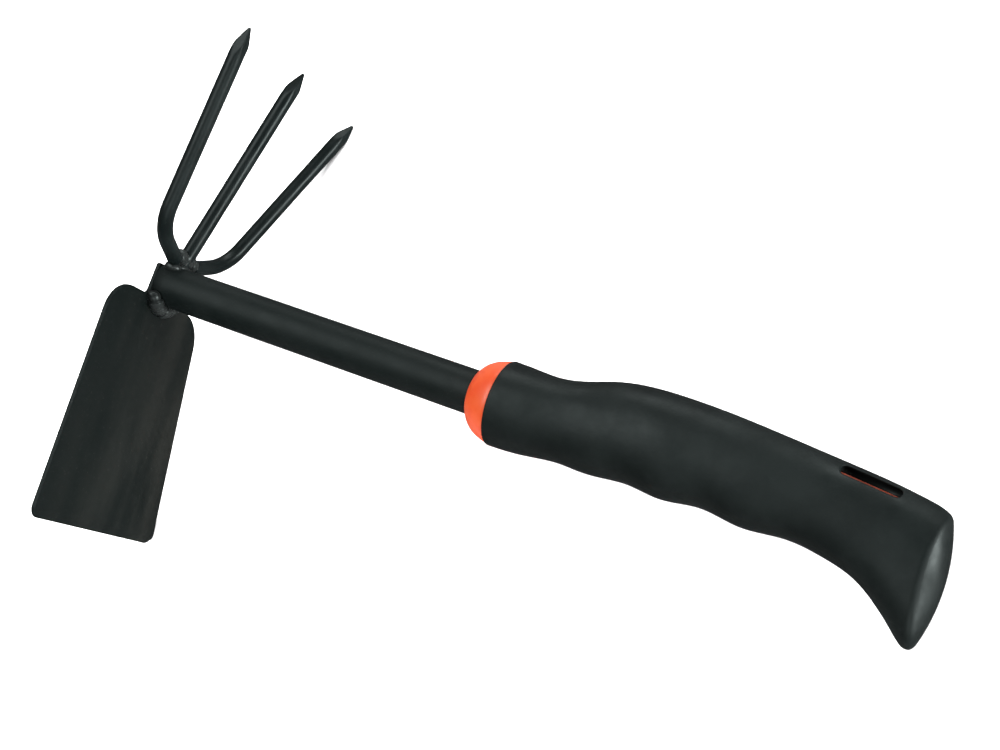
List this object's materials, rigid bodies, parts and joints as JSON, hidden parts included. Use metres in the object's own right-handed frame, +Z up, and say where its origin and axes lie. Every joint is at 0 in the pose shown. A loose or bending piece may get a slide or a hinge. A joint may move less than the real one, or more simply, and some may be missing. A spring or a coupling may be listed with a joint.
{
  "type": "hand hoe with fork",
  "caption": "Short hand hoe with a flat leaning blade and a tined fork on one tube, and a soft contoured grip with a hooked tail and hanging slot.",
  "frame": {"origin": "middle of the footprint of the tool lying on its side, at the surface it rests on", "axes": "+X along the tool towards the butt of the handle, +Y towards the tines' side, +Z up from the surface it lies on"},
  "size_m": [0.3797, 0.2382, 0.1148],
  "materials": {
    "head_paint": "black glossy paint over steel and weld, faintly uneven",
    "handle_plastic": "orange moulded plastic, satin gloss",
    "grip_rubber": "black soft moulded rubber, matt with a soft sheen"
  },
  "bodies": {
    "root": {"hoe_blade": "head_paint", "shaft_tube": "head_paint", "tine_left": "head_paint", "tine_middle": "head_paint", "tine_right": "head_paint", "blade_weld_bead": "head_paint", "tine_root_weld": "head_paint", "fork_weld": "head_paint", "handle_core": "handle_plastic", "grip_sleeve": "grip_rubber"}
  },
  "joints": []
}
